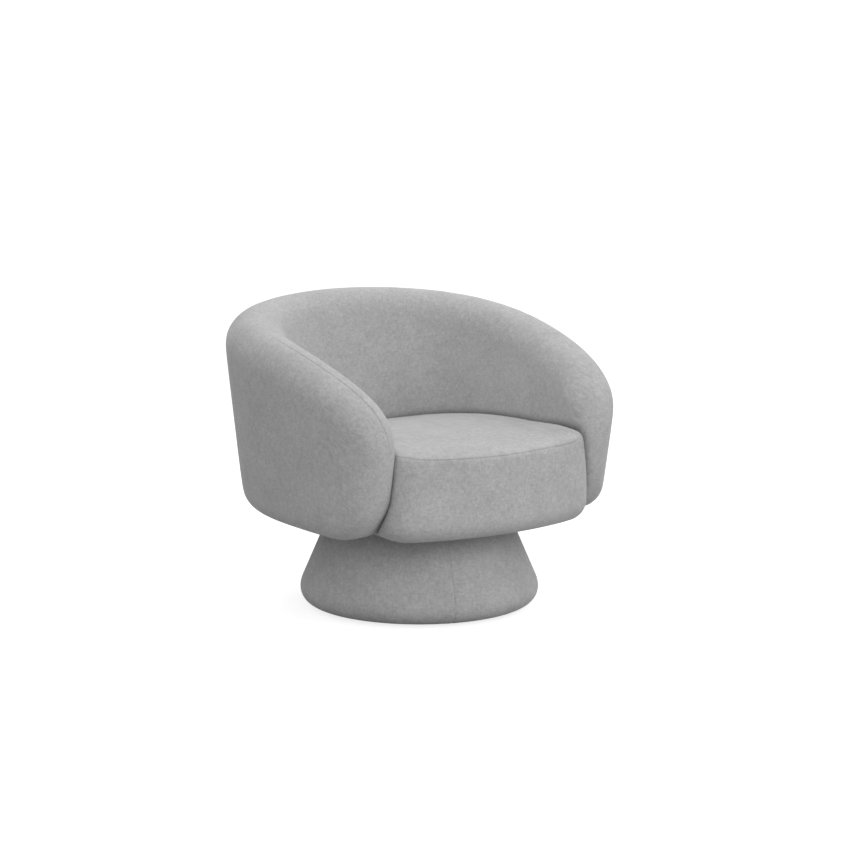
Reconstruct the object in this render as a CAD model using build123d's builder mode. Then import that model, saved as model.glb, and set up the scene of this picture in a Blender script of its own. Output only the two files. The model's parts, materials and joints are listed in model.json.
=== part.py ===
from build123d import *
import bisect
import math
import os

os.makedirs("parts", exist_ok=True)

# Swivel armchair: an upholstered tub wall and seat that turn on a round upholstered pedestal.
# The chair faces -Y, +Z is up, and the origin is on the floor under the swivel axis.

# Cloth, boards and clearances
fabric = 2.0
cambric = 1.0
ease = 0.3
running_clearance = 0.08
plywood = 18.0

# Pedestal
glide_height = 4.0
glide_radius = 17.0
glide_count = 6
glide_set_in = 40.0
glide_bevel = 2.0
glide_pin_radius = 3.0
glide_pin_length = 14.0
pedestal_height = 207.0
pedestal_top_radius = 209.0
pedestal_foot_radius = 296.0
pedestal_edge_radius = 44.0
pedestal_rim_radius = 6.0
pedestal_padding = 10.0
pedestal_skin_thickness = 4.0
pedestal_ring_hole = 120.0
pedestal_hem = 62.0
pedestal_top_turn_in = 50.0
edge_roll_height = 45.0
rib_count = 8
rib_thickness = 15.0
rib_inner_radius = 110.0

# Swivel bearing
plate_size = 200.0
plate_corner_radius = 20.0
plate_thickness = 4.0
plate_bolt_margin = 20.0
ball_diameter = 8.0
ball_count = 24
race_radius = 75.0
race_depth = 1.5
race_clearance = 0.1
cage_width = 14.0
cage_thickness = 2.4
cage_clearance = 0.15
kingpin_radius = 8.0
kingpin_head_radius = 14.0
kingpin_head_height = 4.0
kingpin_washer_radius = 15.0
kingpin_washer_thickness = 2.0
kingpin_nut_size = 24.0
kingpin_nut_height = 8.0
kingpin_end = 2.0
bolt_radius = 4.0
bolt_head_radius = 7.5
bolt_clearance = 0.3
tee_nut_barrel_radius = 5.2
tee_nut_flange_radius = 11.0
tee_nut_flange_thickness = 1.6

# Tub wall, measured at the height where the lean is zero
wall_half_width = 400.0
wall_back_depth = 432.0
wall_front_depth = 542.0
wall_squareness = 2.55
wall_wrap_angle = 123.3
wall_thickness_back = 142.0
wall_thickness_tip = 119.0
wall_lean_back = 7.8
wall_lean_tip = 3.3
wall_upright_height = 270.0
wall_height = 471.0
wall_drop = 2.0
arm_nose_height = 123.0
arm_nose_tilt = 9.9
arm_nose_round = 1.85
arm_sweep = 1.67
arm_roll = 3.27
arm_foot_start = 0.87
arm_foot_round = 2.0
arm_tilt_start = 0.45
wall_edge_radius = 54.0
wall_inner_edge_radius = 12.0
wall_outer_padding = 42.0
wall_inner_padding = 46.0
wall_crest_padding = 50.0
wall_seam_gap = 0.6
crest_share = 0.95
edge_share = 0.8
inner_edge_share = 0.4
round_share = 0.42
inner_panel_thickness = 4.0
outer_panel_thickness = 3.0
rim_rail_height = 18.0
frame_ease = 0.9
frame_reach = 0.82
post_count = 9
post_thickness = 18.0
post_reach = 0.76
post_screw_radius = 2.5
post_screw_head_radius = 5.0
post_screw_length = 48.0

# Seat
seat_front = 362.0
seat_side_set_in = 8.0
seat_bow_radius = 639.0
seat_corner_radius = 73.0
seat_height = 205.0
seat_crown_radius = 1800.0
seat_crown_forward = 110.0
seat_front_taper = 3.0
seat_lower_edge_radius = 43.0
seat_upper_edge_radius = 14.0
seat_wall_gap = 0.6
board_setback = 50.0
seat_wall_reach = 0.98
rail_front_padding = 62.0
rail_side_padding = 93.0
rail_rear_padding = 100.0
rail_thickness = 22.0
rail_height = 62.0
spring_count = 5
spring_spacing = 68.0
spring_width = 50.0
spring_pitch = 26.0
spring_wire_radius = 1.9
clip_thickness = 1.6
clip_width = 18.0
clip_length = 15.0
spring_bend = 0.45

# Heights that follow from the stack of pieces
ring_bottom = glide_height + fabric + ease
ring_top = ring_bottom + plywood
disc_top = pedestal_height - fabric - ease
disc_bottom = disc_top - plywood
lower_plate_top = disc_top + plate_thickness
plate_gap = ball_diameter - 2 * race_depth
ball_height = lower_plate_top + plate_gap / 2
upper_plate_bottom = lower_plate_top + plate_gap
board_bottom = upper_plate_bottom + plate_thickness
board_top = board_bottom + plywood
wall_foot = board_bottom - wall_drop
wall_upright = wall_foot + wall_upright_height
rim_top = wall_foot + wall_height
nose_height = wall_foot + arm_nose_height
seat_foot = board_bottom
seat_top = seat_foot + seat_height
rail_top = board_top + rail_height
clip_height = 2 * (spring_wire_radius + ease + clip_thickness)
wire_height = rail_top + clip_height / 2

# Places in plan that follow from the wall, the pedestal and the plates
plate_bolt_spacing = plate_size - 2 * plate_bolt_margin
seat_half_width = wall_half_width - wall_thickness_tip - seat_side_set_in
rail_half_width = seat_half_width - rail_side_padding
rail_front = seat_front - rail_front_padding
rail_rear = wall_back_depth - wall_thickness_back - rail_rear_padding


def write(built, name):
    built.part.label = name
    export_step(built.part, f"parts/{name}.step")


def upright_plane(angle):
    # Radial plane through the swivel axis, local x outwards and local y up
    turn = math.radians(angle)
    return Plane(
        origin=(0, 0, 0),
        x_dir=(math.cos(turn), math.sin(turn), 0),
        z_dir=(math.sin(turn), -math.cos(turn), 0),
    )


# Pedestal side, seen as a section
side_slope = (pedestal_foot_radius - pedestal_top_radius) / (pedestal_height - glide_height)
side_angle = math.atan(side_slope)


def side_radius(height, inset):
    # Radius of the sloping side, set in square to the slope
    radius = pedestal_top_radius + (pedestal_height - height) * side_slope
    return radius - inset / math.cos(side_angle)


def pedestal_section(inset):
    bottom = glide_height + inset
    top = pedestal_height - inset
    outline = [(0, bottom), (side_radius(bottom, inset), bottom), (side_radius(top, inset), top), (0, top)]
    rounds = [0, pedestal_edge_radius - inset, pedestal_rim_radius - inset, 0]
    with BuildSketch(Plane.XZ) as section:
        with BuildLine():
            FilletPolyline(*outline, radius=rounds, close=True)
        make_face()
    return section.sketch


padding_inset = fabric + ease + pedestal_padding
skin_inset = padding_inset + ease
skin_bottom = glide_height + edge_roll_height
disc_radius = side_radius(disc_top, skin_inset)
edge_tangent = pedestal_edge_radius / math.tan((math.pi / 2 - side_angle) / 2)
flat_foot_radius = side_radius(glide_height, 0) - edge_tangent
ring_radius = flat_foot_radius - fabric
cover_bottom_hole = flat_foot_radius - pedestal_hem
cover_top_hole = pedestal_top_radius - pedestal_top_turn_in
glide_circle = flat_foot_radius - glide_set_in

with BuildPart() as pedestal_cover:
    with BuildSketch(Plane.XZ):
        add(pedestal_section(0))
        add(pedestal_section(fabric), mode=Mode.SUBTRACT)
        with Locations((0, glide_height)):
            Rectangle(2 * cover_bottom_hole, 4 * fabric, mode=Mode.SUBTRACT)
        with Locations((0, pedestal_height)):
            Rectangle(2 * cover_top_hole, 4 * fabric, mode=Mode.SUBTRACT)
    revolve(axis=Axis.Z)
    with PolarLocations(glide_circle, glide_count):
        Cylinder(glide_pin_radius + ease, 4 * ring_top, mode=Mode.SUBTRACT)
write(pedestal_cover, "pedestal_cover")

with BuildPart() as pedestal_foam:
    with BuildSketch(Plane.XZ):
        add(pedestal_section(fabric + ease))
        with BuildLine():
            Polyline(
                (0, 0),
                (ring_radius + ease, 0),
                (ring_radius + ease, skin_bottom - ease),
                (side_radius(skin_bottom - ease, padding_inset), skin_bottom - ease),
                (side_radius(pedestal_height, padding_inset), pedestal_height),
                (0, pedestal_height),
                close=True,
            )
        make_face(mode=Mode.SUBTRACT)
    revolve(axis=Axis.Z)
write(pedestal_foam, "pedestal_foam")

with BuildPart() as pedestal_skin:
    with BuildSketch(Plane.XZ):
        with BuildLine():
            Polyline(
                (side_radius(skin_bottom, skin_inset), skin_bottom),
                (side_radius(disc_bottom, skin_inset), disc_bottom),
                (side_radius(disc_bottom, skin_inset + pedestal_skin_thickness), disc_bottom),
                (side_radius(skin_bottom, skin_inset + pedestal_skin_thickness), skin_bottom),
                close=True,
            )
        make_face()
    revolve(axis=Axis.Z)
write(pedestal_skin, "pedestal_skin")

with BuildPart() as pedestal_ring:
    with BuildSketch(Plane.XY.offset(ring_bottom)):
        Circle(ring_radius)
        Circle(pedestal_ring_hole, mode=Mode.SUBTRACT)
        with PolarLocations(glide_circle, glide_count):
            Circle(glide_pin_radius + running_clearance, mode=Mode.SUBTRACT)
    extrude(amount=plywood)
write(pedestal_ring, "pedestal_ring")

rib_inset = skin_inset + pedestal_skin_thickness + ease
with BuildPart() as pedestal_ribs:
    for number in range(rib_count):
        with BuildSketch(upright_plane((number + 0.5) * 360 / rib_count)):
            with BuildLine():
                Polyline(
                    (rib_inner_radius, disc_bottom),
                    (pedestal_ring_hole, ring_top),
                    (ring_radius, ring_top),
                    (ring_radius, skin_bottom),
                    (side_radius(skin_bottom, rib_inset), skin_bottom),
                    (side_radius(disc_bottom, rib_inset), disc_bottom),
                    close=True,
                )
            make_face()
        extrude(amount=rib_thickness / 2, both=True)
write(pedestal_ribs, "pedestal_ribs")

with BuildPart() as pedestal_disc:
    with BuildSketch(Plane.XY.offset(disc_bottom)):
        Circle(disc_radius)
        Circle(kingpin_head_radius + ease, mode=Mode.SUBTRACT)
        with GridLocations(plate_bolt_spacing, plate_bolt_spacing, 2, 2):
            Circle(tee_nut_barrel_radius + running_clearance, mode=Mode.SUBTRACT)
    extrude(amount=plywood)
write(pedestal_disc, "pedestal_disc")

with BuildPart() as pedestal_dust_cover:
    with BuildSketch(Plane.XY.offset(ring_bottom - ease - cambric)):
        Circle(cover_bottom_hole - ease)
    extrude(amount=cambric)
write(pedestal_dust_cover, "pedestal_dust_cover")

with BuildPart() as glides:
    with PolarLocations(glide_circle, glide_count):
        Cone(
            glide_radius - glide_bevel,
            glide_radius,
            glide_height,
            align=(Align.CENTER, Align.CENTER, Align.MIN),
        )
        Cylinder(
            glide_pin_radius,
            glide_height + glide_pin_length,
            align=(Align.CENTER, Align.CENTER, Align.MIN),
        )
write(glides, "glides")


# Swivel plates, bolts and ball ring
def swivel_plate(bottom):
    with BuildPart() as plate:
        with BuildSketch(Plane.XY.offset(bottom)):
            RectangleRounded(plate_size, plate_size, plate_corner_radius)
            Circle(kingpin_radius + running_clearance, mode=Mode.SUBTRACT)
        extrude(amount=plate_thickness)
        with BuildSketch(Plane.XZ):
            with Locations((race_radius, ball_height)):
                Circle(ball_diameter / 2 + race_clearance)
        revolve(axis=Axis.Z, mode=Mode.SUBTRACT)
    return plate


def bolt_shape(face, direction, length, extra):
    # Countersunk bolt on each corner of the plates, head flush with the given face
    with BuildPart() as bolts:
        with BuildSketch(Plane.XZ):
            with BuildLine():
                Polyline(
                    (0, face),
                    (bolt_head_radius + extra, face),
                    (bolt_radius + extra, face + direction * (bolt_head_radius - bolt_radius)),
                    (bolt_radius + extra, face + direction * length),
                    (0, face + direction * length),
                    close=True,
                )
            make_face()
        revolve(axis=Axis.Z)
    with BuildPart() as pattern:
        with GridLocations(plate_bolt_spacing, plate_bolt_spacing, 2, 2):
            add(bolts.part)
    return pattern


def tee_nuts(flange_face, direction):
    # Flanged nuts pressed into the wood from the far side
    flange = Plane.XY.offset(flange_face)
    with BuildPart() as nuts:
        with BuildSketch(flange):
            with GridLocations(plate_bolt_spacing, plate_bolt_spacing, 2, 2):
                Circle(tee_nut_flange_radius)
        extrude(amount=-direction * tee_nut_flange_thickness)
        with BuildSketch(flange):
            with GridLocations(plate_bolt_spacing, plate_bolt_spacing, 2, 2):
                Circle(tee_nut_barrel_radius)
        extrude(amount=direction * (plywood - 2 * plate_thickness))
        with BuildSketch(flange.offset(-direction * 2 * tee_nut_flange_thickness)):
            with GridLocations(plate_bolt_spacing, plate_bolt_spacing, 2, 2):
                Circle(bolt_radius + running_clearance)
        extrude(amount=direction * 2 * plywood, mode=Mode.SUBTRACT)
    return nuts


bolt_length = plate_thickness + plywood + tee_nut_flange_thickness
lower_plate_bolts = bolt_shape(lower_plate_top, -1, bolt_length, 0)
write(lower_plate_bolts, "lower_plate_bolts")
upper_plate_bolts = bolt_shape(upper_plate_bottom, 1, bolt_length, 0)
write(upper_plate_bolts, "upper_plate_bolts")
lower_tee_nuts = tee_nuts(disc_bottom, 1)
write(lower_tee_nuts, "lower_tee_nuts")
upper_tee_nuts = tee_nuts(board_top, -1)
write(upper_tee_nuts, "upper_tee_nuts")

with BuildPart() as swivel_lower_plate:
    add(swivel_plate(disc_top).part)
    add(bolt_shape(lower_plate_top, -1, bolt_length, bolt_clearance).part, mode=Mode.SUBTRACT)
write(swivel_lower_plate, "swivel_lower_plate")

with BuildPart() as swivel_upper_plate:
    add(swivel_plate(upper_plate_bottom).part)
    add(bolt_shape(upper_plate_bottom, 1, bolt_length, bolt_clearance).part, mode=Mode.SUBTRACT)
write(swivel_upper_plate, "swivel_upper_plate")

washer_bottom = board_bottom + running_clearance
nut_bottom = washer_bottom + kingpin_washer_thickness
with BuildPart() as kingpin:
    with BuildSketch(Plane.XY.offset(disc_top - kingpin_head_height)):
        Circle(kingpin_head_radius)
    extrude(amount=kingpin_head_height)
    with BuildSketch(Plane.XY.offset(disc_top)):
        Circle(kingpin_radius)
    extrude(amount=nut_bottom + kingpin_nut_height + kingpin_end - disc_top)
write(kingpin, "kingpin")

with BuildPart() as kingpin_washer:
    with BuildSketch(Plane.XY.offset(washer_bottom)):
        Circle(kingpin_washer_radius)
        Circle(kingpin_radius + running_clearance, mode=Mode.SUBTRACT)
    extrude(amount=kingpin_washer_thickness)
write(kingpin_washer, "kingpin_washer")

with BuildPart() as kingpin_nut:
    with BuildSketch(Plane.XY.offset(nut_bottom)):
        RegularPolygon(kingpin_nut_size / 2, 6, major_radius=False)
        Circle(kingpin_radius + running_clearance, mode=Mode.SUBTRACT)
    extrude(amount=kingpin_nut_height)
write(kingpin_nut, "kingpin_nut")

with BuildPart() as ball_cage:
    with BuildSketch(Plane.XY.offset(ball_height - cage_thickness / 2)):
        Circle(race_radius + cage_width / 2)
        Circle(race_radius - cage_width / 2, mode=Mode.SUBTRACT)
        with PolarLocations(race_radius, ball_count):
            Circle(ball_diameter / 2 + cage_clearance, mode=Mode.SUBTRACT)
    extrude(amount=cage_thickness)
write(ball_cage, "ball_cage")

with BuildPart() as one_ball:
    Sphere(ball_diameter / 2)
with BuildPart(Plane.XY.offset(ball_height)) as bearing_balls:
    with PolarLocations(race_radius, ball_count):
        add(one_ball.part)
write(bearing_balls, "bearing_balls")

# Tub wall: a rounded upright section carried along a squarish C in plan, from arm tip to arm tip
plan_steps = 600
plan_x = []
plan_y = []
plan_travel = [0.0]
for step in range(plan_steps + 1):
    turn = math.radians(wall_wrap_angle) * step / plan_steps
    depth = wall_back_depth if turn < math.pi / 2 else -wall_front_depth
    depth -= math.copysign(wall_thickness_back / 2, depth)
    plan_x.append((wall_half_width - wall_thickness_back / 2) * math.sin(turn) ** (2 / wall_squareness))
    plan_y.append(depth * abs(math.cos(turn)) ** (2 / wall_squareness))
    if step > 0:
        stride = math.hypot(plan_x[step] - plan_x[step - 1], plan_y[step] - plan_y[step - 1])
        plan_travel.append(plan_travel[-1] + stride)
wall_reach = plan_travel[-1]


def plan_point(travel):
    # Point of the wall's centre line, by the distance from the middle of the back
    reach = min(abs(travel), wall_reach)
    place = min(max(bisect.bisect_left(plan_travel, reach), 1), plan_steps)
    share = (reach - plan_travel[place - 1]) / (plan_travel[place] - plan_travel[place - 1])
    x = plan_x[place - 1] + share * (plan_x[place] - plan_x[place - 1])
    y = plan_y[place - 1] + share * (plan_y[place] - plan_y[place - 1])
    return Vector(math.copysign(x, travel), y, 0)


def wall_direction(travel):
    # Horizontal direction along the centre line, towards the right arm
    inside = max(min(travel, wall_reach - plywood), plywood - wall_reach)
    return (plan_point(inside + plywood) - plan_point(inside - plywood)).normalized()


def wall_centre(travel):
    # The centre line, run on straight past the arm tips
    past = travel - math.copysign(min(abs(travel), wall_reach), travel)
    return plan_point(travel) + wall_direction(travel) * past


def wall_share(travel, grow):
    return min(abs(travel) / (wall_reach + grow), 1)


def wall_half(travel, grow):
    # Half thickness, rounded off towards the arm tips
    share = wall_share(travel, grow)
    full = (wall_thickness_back + (wall_thickness_tip - wall_thickness_back) * share) / 2 + grow
    run = arm_nose_round * full
    cut = max(1 - (wall_reach + grow - abs(travel)) / run, 0)
    return full * math.sqrt(max(1 - cut ** 2, 0))


def wall_rim(travel, grow):
    # Height of the crest, which sweeps down into the arms and rolls over their fronts
    share = wall_share(travel, grow)
    drop = max(1 - share ** arm_sweep, 0) ** (1 / arm_roll)
    return nose_height + (rim_top + grow - nose_height) * drop


def wall_base(travel, grow):
    # Height of the underside, which rises to the nose of each arm
    share = max((wall_share(travel, grow) - arm_foot_start) / (1 - arm_foot_start), 0)
    drop = max(1 - share ** arm_foot_round, 0) ** (1 / arm_foot_round)
    return nose_height - (nose_height - wall_foot + grow) * drop


def wall_shift(travel, height):
    # How far the leaning wall stands out at a height
    share = wall_share(travel, 0)
    lean = wall_lean_back + (wall_lean_tip - wall_lean_back) * share
    return (height - wall_upright) * math.tan(math.radians(lean))


def wall_tilt(travel):
    # The arm fronts lean forward at the top
    share = max((wall_share(travel, 0) - arm_tilt_start) / (1 - arm_tilt_start), 0)
    return math.copysign(math.radians(arm_nose_tilt) * share ** 2 * (3 - 2 * share), travel)


def wall_normal(travel):
    along = wall_direction(travel)
    return Vector(-along.Y, along.X, 0)


def wall_plane(travel, tilt):
    # Section plane at the nose height, local x outwards and local y up the wall
    along = wall_direction(travel)
    up = Vector(0, 0, 1) * math.cos(tilt) + along * math.sin(tilt)
    origin = wall_centre(travel) + Vector(0, 0, nose_height)
    normal = wall_normal(travel)
    return Plane(origin=origin, x_dir=normal, z_dir=normal.cross(up))


def wall_corner(travel, tilt, across, height):
    # Local point of the section, across from the leaning centre and at a height above the floor
    return across + wall_shift(travel, height), (height - nose_height) / math.cos(tilt)


def wall_band(travel, tilt, inner, outer, bottom, top):
    return [
        wall_corner(travel, tilt, outer, bottom),
        wall_corner(travel, tilt, outer, top),
        wall_corner(travel, tilt, inner, top),
        wall_corner(travel, tilt, inner, bottom),
    ]


wall_stations = 16
wall_end = 0.985


def wall_travels(reach):
    # Distances along the wall, closer together towards the arm tips
    turns = [wall_end * number / wall_stations for number in range(-wall_stations, wall_stations + 1)]
    return [reach * math.sin(turn * math.pi / 2) for turn in turns]


def wall_solid(grow):
    with BuildPart() as wall:
        for travel in wall_travels(wall_reach + grow):
            tilt = wall_tilt(travel)
            half = wall_half(travel, grow)
            top = wall_rim(travel, grow)
            bottom = wall_base(travel, grow)
            room = round_share * (top - bottom)
            crest = min(crest_share * half, room)
            edge = min(wall_edge_radius + grow, edge_share * half, room)
            inner_edge = min(wall_inner_edge_radius + grow, inner_edge_share * half, room)
            with BuildSketch(wall_plane(travel, tilt)):
                with BuildLine():
                    FilletPolyline(
                        *wall_band(travel, tilt, -half, half, bottom, top),
                        radius=[edge, crest, crest, inner_edge],
                        close=True,
                    )
                make_face()
        loft()
    return wall.part


# Frame inside the wall, between the inner and outer padding
frame_stations = 8
frame_stride = frame_reach * wall_reach / frame_stations
frame_travels = [frame_stride * number for number in range(-frame_stations, frame_stations + 1)]


def core_outer(travel):
    return wall_half(travel, 0) - wall_outer_padding


def core_inner(travel):
    return wall_inner_padding - wall_half(travel, 0)


def core_top(travel):
    return wall_rim(travel, 0) - wall_crest_padding


def post_outer(travel):
    return core_outer(travel) - outer_panel_thickness - frame_ease


def post_inner(travel):
    return core_inner(travel) + inner_panel_thickness + frame_ease


def wall_strip(travels, inner, outer, bottom, top):
    # Upright strip bent along the wall, its four sides given as functions of the place
    with BuildPart() as strip:
        for travel in travels:
            corners = wall_band(travel, 0, inner(travel), outer(travel), bottom(travel), top(travel))
            with BuildSketch(wall_plane(travel, 0)):
                with BuildLine():
                    Polyline(*corners, close=True)
                make_face()
        loft()
    return strip.part


def panel_foot(travel):
    return board_top + ease


with BuildPart() as rim_rail:
    add(wall_strip(
        frame_travels, post_inner, post_outer, lambda place: core_top(place) - rim_rail_height, core_top
    ))
write(rim_rail, "rim_rail")

with BuildPart() as wall_inner_panel:
    add(wall_strip(
        frame_travels,
        core_inner,
        lambda place: core_inner(place) + inner_panel_thickness,
        panel_foot,
        core_top,
    ))
write(wall_inner_panel, "wall_inner_panel")

with BuildPart() as wall_outer_panel:
    add(wall_strip(
        frame_travels,
        lambda place: core_outer(place) - outer_panel_thickness,
        core_outer,
        panel_foot,
        core_top,
    ))
write(wall_outer_panel, "wall_outer_panel")

post_pairs = (post_count - 1) // 2
post_stride = post_reach * wall_reach / post_pairs
post_travels = [post_stride * number for number in range(-post_pairs, post_pairs + 1)]


def post_middle(travel):
    # Where a post stands on the board
    across = (post_inner(travel) + post_outer(travel)) / 2 + wall_shift(travel, board_top)
    return wall_centre(travel) + wall_normal(travel) * across


screw_head_height = post_screw_head_radius - post_screw_radius
with BuildPart() as one_screw:
    with BuildSketch(Plane.XZ):
        with BuildLine():
            Polyline(
                (0, board_bottom),
                (post_screw_head_radius, board_bottom),
                (post_screw_radius, board_bottom + screw_head_height),
                (post_screw_radius, board_bottom + post_screw_length),
                (0, board_bottom + post_screw_length),
                close=True,
            )
        make_face()
    revolve(axis=Axis.Z)
with BuildPart() as post_screws:
    with Locations(*[post_middle(travel) for travel in post_travels]):
        add(one_screw.part)
write(post_screws, "post_screws")


def post_top(travel):
    # Underside of the rim rail at the lower side of a post
    lower = min(core_top(travel + post_thickness / 2), core_top(travel - post_thickness / 2))
    return lower - rim_rail_height - 2 * ease


with BuildPart() as wall_posts:
    for travel in post_travels:
        corners = wall_band(travel, 0, post_inner(travel), post_outer(travel), board_top, post_top(travel))
        with BuildSketch(wall_plane(travel, 0)):
            with BuildLine():
                Polyline(*corners, close=True)
            make_face()
        extrude(amount=post_thickness / 2, both=True)
    with BuildSketch(Plane.XY.offset(board_top)):
        with Locations(*[post_middle(travel) for travel in post_travels]):
            Circle(post_screw_radius + running_clearance)
    extrude(amount=post_screw_length, mode=Mode.SUBTRACT)
write(wall_posts, "wall_posts")


# Seat outline in plan: bowed front, rounded corners, straight sides into the wall
def seat_outline(inset):
    side = seat_half_width - inset
    bow = seat_bow_radius - inset
    bow_centre = seat_bow_radius - seat_front
    corner = bow_centre - math.sqrt(bow ** 2 - side ** 2)
    with BuildSketch() as outline:
        with BuildLine():
            ThreePointArc((-side, corner), (0, inset - seat_front), (side, corner))
            Polyline((side, corner), (side, wall_back_depth), (-side, wall_back_depth), (-side, corner))
        make_face()
        fillet(outline.vertices(), seat_corner_radius - inset)
    return outline.sketch


region_stations = 10


def wall_region(across, height, reach):
    # Plan area inside the wall, up to a distance across from its leaning centre
    edge = []
    for number in range(-region_stations, region_stations + 1):
        travel = reach * wall_reach * number / region_stations
        edge.append(wall_centre(travel) + wall_normal(travel) * (across(travel) + wall_shift(travel, height)))
    with BuildSketch() as region:
        with BuildLine():
            Spline(*edge)
            Line(edge[-1], edge[0])
        make_face()
    return region.sketch


def board_outline(grow):
    with BuildSketch() as outline:
        add(wall_region(lambda place: core_outer(place) + grow, board_bottom, frame_reach))
        add(seat_inside(board_setback - grow))
    return outline.sketch


def seat_inside(inset):
    # Seat outline limited to the middle of the wall
    with BuildSketch() as inside:
        add(wall_region(lambda place: 0, board_top, seat_wall_reach))
        with Locations((0, -seat_front)):
            Rectangle(2 * seat_half_width, seat_front, mode=Mode.ADD)
        add(seat_outline(inset), mode=Mode.INTERSECT)
    return inside.sketch


with BuildPart() as seat_board:
    with BuildSketch(Plane.XY.offset(board_bottom)):
        add(board_outline(0))
        Circle(kingpin_washer_radius + ease, mode=Mode.SUBTRACT)
        with GridLocations(plate_bolt_spacing, plate_bolt_spacing, 2, 2):
            Circle(tee_nut_barrel_radius + running_clearance, mode=Mode.SUBTRACT)
        with Locations(*[post_middle(travel) for travel in post_travels]):
            Circle(post_screw_radius + running_clearance, mode=Mode.SUBTRACT)
    extrude(amount=plywood)
    with Locations(*[post_middle(travel) + Vector(0, 0, board_bottom) for travel in post_travels]):
        Cone(
            post_screw_head_radius + running_clearance,
            post_screw_radius + running_clearance,
            screw_head_height,
            align=(Align.CENTER, Align.CENTER, Align.MIN),
            mode=Mode.SUBTRACT,
        )
write(seat_board, "seat_board")

with BuildPart() as seat_dust_cover:
    with BuildSketch(Plane.XY.offset(board_bottom - ease - cambric)):
        add(board_outline(0))
        RectangleRounded(plate_size + fabric, plate_size + fabric, plate_corner_radius, mode=Mode.SUBTRACT)
    extrude(amount=cambric)
write(seat_dust_cover, "seat_dust_cover")

with BuildPart() as board_room:
    with BuildSketch(Plane.XY.offset(board_bottom - plywood)):
        add(board_outline(ease))
    extrude(amount=2 * plywood + ease)

# Wall padding and its two fabric panels
with BuildPart() as wall_foam:
    add(wall_solid(-fabric - ease))
    add(
        wall_strip(
            [travel * (1 + ease / wall_reach) for travel in frame_travels],
            lambda place: core_inner(place) - ease,
            lambda place: core_outer(place) + ease,
            lambda place: board_bottom - plywood,
            lambda place: core_top(place) + ease,
        ),
        mode=Mode.SUBTRACT,
    )
    add(board_room.part, mode=Mode.SUBTRACT)
write(wall_foam, "wall_foam")

with BuildPart() as wall_cover:
    add(wall_solid(0))
    add(wall_solid(-fabric), mode=Mode.SUBTRACT)
    add(
        wall_strip(
            wall_travels((wall_reach + plywood) / math.sin(wall_end * math.pi / 2)),
            lambda place: -wall_seam_gap / 2,
            lambda place: wall_seam_gap / 2,
            lambda place: wall_foot - plywood,
            lambda place: rim_top + plywood,
        ),
        mode=Mode.SUBTRACT,
    )
    add(board_room.part, mode=Mode.SUBTRACT)
panels = wall_cover.part.solids().sort_by(SortBy.VOLUME)

with BuildPart() as wall_outer_cover:
    add(panels[-1])
write(wall_outer_cover, "wall_outer_cover")

with BuildPart() as wall_inner_cover:
    add(panels[-2])
write(wall_inner_cover, "wall_inner_cover")


# Seat padding and cover, fitted inside the wall
def seat_solid(inset):
    with BuildPart() as seat:
        with BuildSketch(Plane.XY.offset(seat_foot + inset)):
            add(seat_outline(inset))
        extrude(amount=seat_height + plywood, taper=seat_front_taper)
        with Locations((0, -seat_crown_forward, seat_top - seat_crown_radius)):
            Cylinder(
                seat_crown_radius - inset,
                4 * seat_half_width,
                rotation=(0, 90, 0),
                mode=Mode.INTERSECT,
            )
        fillet(seat.edges().group_by(Axis.Z)[0], seat_lower_edge_radius - inset)
        fillet(seat.faces().sort_by(Axis.Z)[-1].edges(), seat_upper_edge_radius - inset)
        with BuildSketch(Plane.XY.offset(seat_foot - plywood)):
            add(seat_inside(0))
        extrude(amount=2 * seat_height, mode=Mode.INTERSECT)
        add(wall_solid(seat_wall_gap + inset), mode=Mode.SUBTRACT)
        add(board_room.part, mode=Mode.SUBTRACT)
    return seat.part


with BuildPart() as seat_cover:
    add(seat_solid(0))
    add(seat_solid(fabric), mode=Mode.SUBTRACT)
write(seat_cover, "seat_cover")

rail_middle = (rail_rear - rail_front) / 2
rail_span = rail_rear + rail_front
with BuildPart() as seat_foam:
    add(seat_solid(fabric + ease))
    with BuildSketch(Plane.XY.offset(board_top)):
        with Locations((0, rail_middle)):
            Rectangle(2 * (rail_half_width + ease), rail_span + 2 * ease)
    extrude(amount=rail_height + clip_height + ease, mode=Mode.SUBTRACT)
write(seat_foam, "seat_foam")

# Spring frame on the board
with BuildPart() as front_rail:
    with BuildSketch(Plane.XY.offset(board_top)):
        with Locations((0, rail_thickness / 2 - rail_front)):
            Rectangle(2 * rail_half_width, rail_thickness)
    extrude(amount=rail_height)
write(front_rail, "front_rail")

with BuildPart() as rear_rail:
    with BuildSketch(Plane.XY.offset(board_top)):
        with Locations((0, rail_rear - rail_thickness / 2)):
            Rectangle(2 * rail_half_width, rail_thickness)
    extrude(amount=rail_height)
write(rear_rail, "rear_rail")

with BuildPart() as side_rails:
    with BuildSketch(Plane.XY.offset(board_top)):
        with Locations((0, rail_middle)):
            with GridLocations(2 * rail_half_width - rail_thickness, 0, 2, 1):
                Rectangle(rail_thickness, rail_span - 2 * rail_thickness)
    extrude(amount=rail_height)
write(side_rails, "side_rails")

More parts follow.
